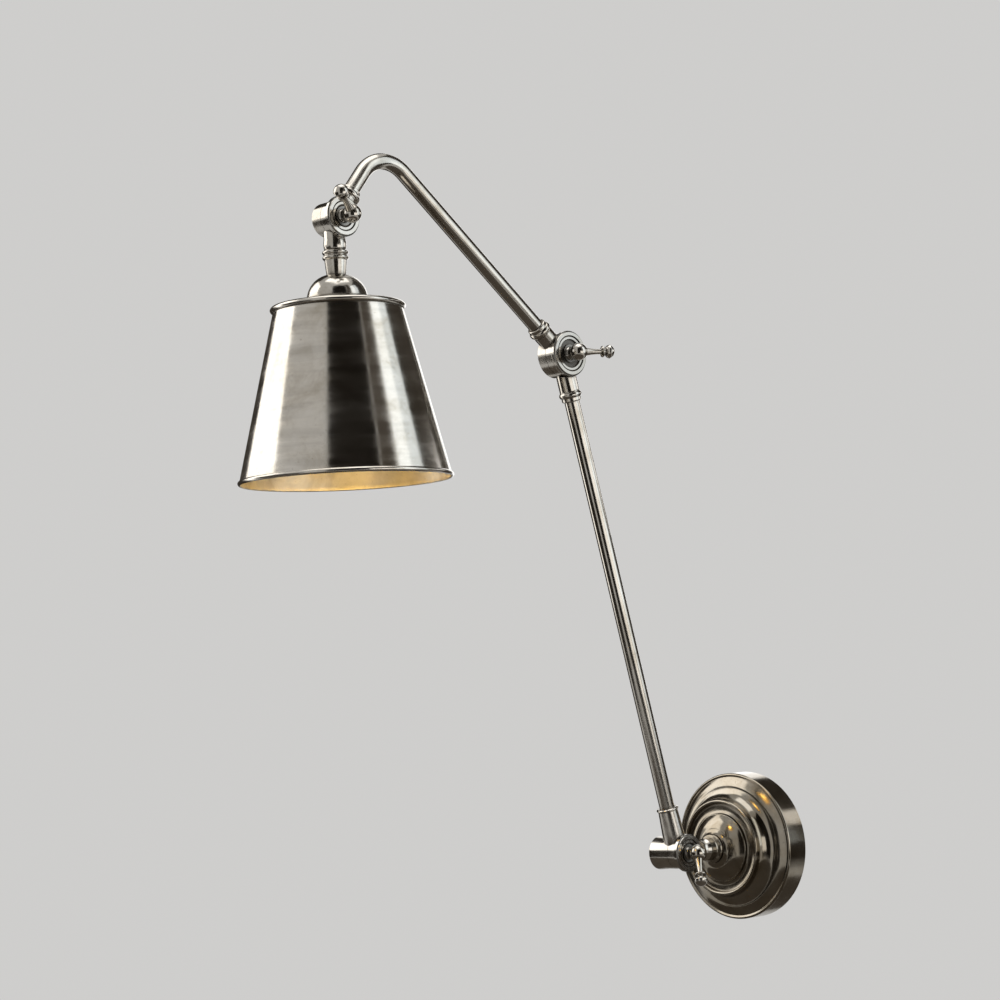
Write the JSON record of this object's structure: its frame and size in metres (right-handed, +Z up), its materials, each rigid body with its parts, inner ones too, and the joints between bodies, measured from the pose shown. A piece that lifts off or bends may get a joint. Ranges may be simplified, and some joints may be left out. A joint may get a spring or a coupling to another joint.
{
  "type": "articulating wall lamp",
  "caption": "Hard-wired wall lamp: round spun rose, two tube arms on friction knuckles clamped by lever screws, and a tilting cone shade with its bulb.",
  "frame": {"origin": "centre of the wall rose on the wall plane, midway between the two screw slots of the bracket", "axes": "+Y into the wall, the lamp stands out to -Y; +Z up; X along every knuckle's axis, the lever screws at +X"},
  "size_m": [0.1636, 0.5196, 0.628],
  "materials": {
    "silver_body": "turned and spun brass with an antiqued silver plate, darker in the grooves",
    "silver_tube": "drawn brass tube with an antiqued silver plate",
    "silver_shade": "spun brass sheet with an antiqued silver plate, faint lap marks",
    "silver_lever": "turned brass with an antiqued silver plate",
    "zinc_steel": "bright zinc plate",
    "bare_brass": "plain turned brass",
    "holder_insulation": "black moulded holder body",
    "block_plastic": "off-white moulded terminal block",
    "friction_fibre": "pressed red-brown fibre",
    "thrust_steel": "plain steel washer",
    "flex_sheath": "black round flex",
    "bulb_metal": "thin aluminium screw cap",
    "opal_glass": "opal glass"
  },
  "bodies": {
    "wall": {"wall_rose": "silver_body", "mounting_bracket": "zinc_steel", "nipple_nuts": "bare_brass", "earth_screw": "zinc_steel", "terminal_block": "block_plastic", "terminal_screws": "zinc_steel", "rose_nipple": "bare_brass", "rose_collar": "silver_body", "base_post_knuckle": "silver_body", "base_friction_washer": "friction_fibre", "post_flex": "flex_sheath"},
    "lower_arm": {"base_arm_knuckle": "silver_body", "base_thrust_washer": "thrust_steel", "lower_arm_tube": "silver_tube", "lower_flex": "flex_sheath", "lower_ferrule": "silver_body", "elbow_lower_knuckle": "silver_body", "elbow_friction_washer": "friction_fibre"},
    "upper_arm": {"elbow_upper_knuckle": "silver_body", "elbow_thrust_washer": "thrust_steel", "elbow_ferrule": "silver_body", "upper_arm_tube": "silver_tube", "upper_flex": "flex_sheath", "head_ferrule": "silver_body", "head_arm_knuckle": "silver_body", "head_thrust_washer": "thrust_steel"},
    "shade": {"head_stem_knuckle": "silver_body", "head_friction_washer": "friction_fibre", "shade_stem": "silver_body", "shade_cap": "silver_body", "shade_nipple": "bare_brass", "shade_lid": "silver_shade", "shade_cone": "silver_shade", "shade_washer": "friction_fibre", "shade_nut": "bare_brass", "lampholder_cap": "bare_brass", "lampholder_shell": "holder_insulation", "lampholder_contact": "bare_brass", "lampholder_skirt": "bare_brass", "bulb_cap": "bulb_metal", "bulb_glass": "opal_glass", "shade_flex": "flex_sheath"},
    "base_lever": {"base_lever_screw": "silver_lever", "base_lever_handle": "silver_lever"},
    "elbow_lever": {"elbow_lever_screw": "silver_lever", "elbow_lever_handle": "silver_lever"},
    "head_lever": {"head_lever_screw": "silver_lever", "head_lever_handle": "silver_lever"}
  },
  "joints": [
    {"name": "base_pivot", "type": "hinge", "parent": "wall", "child": "lower_arm", "pos_m": [0, -0.0925, 0], "axis": [1, 0, 0], "range_deg": [-20, 90]},
    {"name": "elbow_pivot", "type": "hinge", "parent": "lower_arm", "child": "upper_arm", "pos_m": [0, -0.19969, 0.41746], "axis": [1, 0, 0], "range_deg": [-60, 60]},
    {"name": "shade_pivot", "type": "hinge", "parent": "upper_arm", "child": "shade", "pos_m": [0, -0.43776, 0.50895], "axis": [-1, 0, 0], "range_deg": [-40, 90]},
    {"name": "base_lever_turn", "type": "hinge", "parent": "wall", "child": "base_lever", "pos_m": [0, -0.0925, 0], "axis": [1, 0, 0], "range_deg": [0, 180]},
    {"name": "elbow_lever_turn", "type": "hinge", "parent": "lower_arm", "child": "elbow_lever", "pos_m": [0, -0.19969, 0.41746], "axis": [1, 0, 0], "range_deg": [0, 180]},
    {"name": "head_lever_turn", "type": "hinge", "parent": "shade", "child": "head_lever", "pos_m": [0, -0.43776, 0.50895], "axis": [1, 0, 0], "range_deg": [0, 180]}
  ]
}
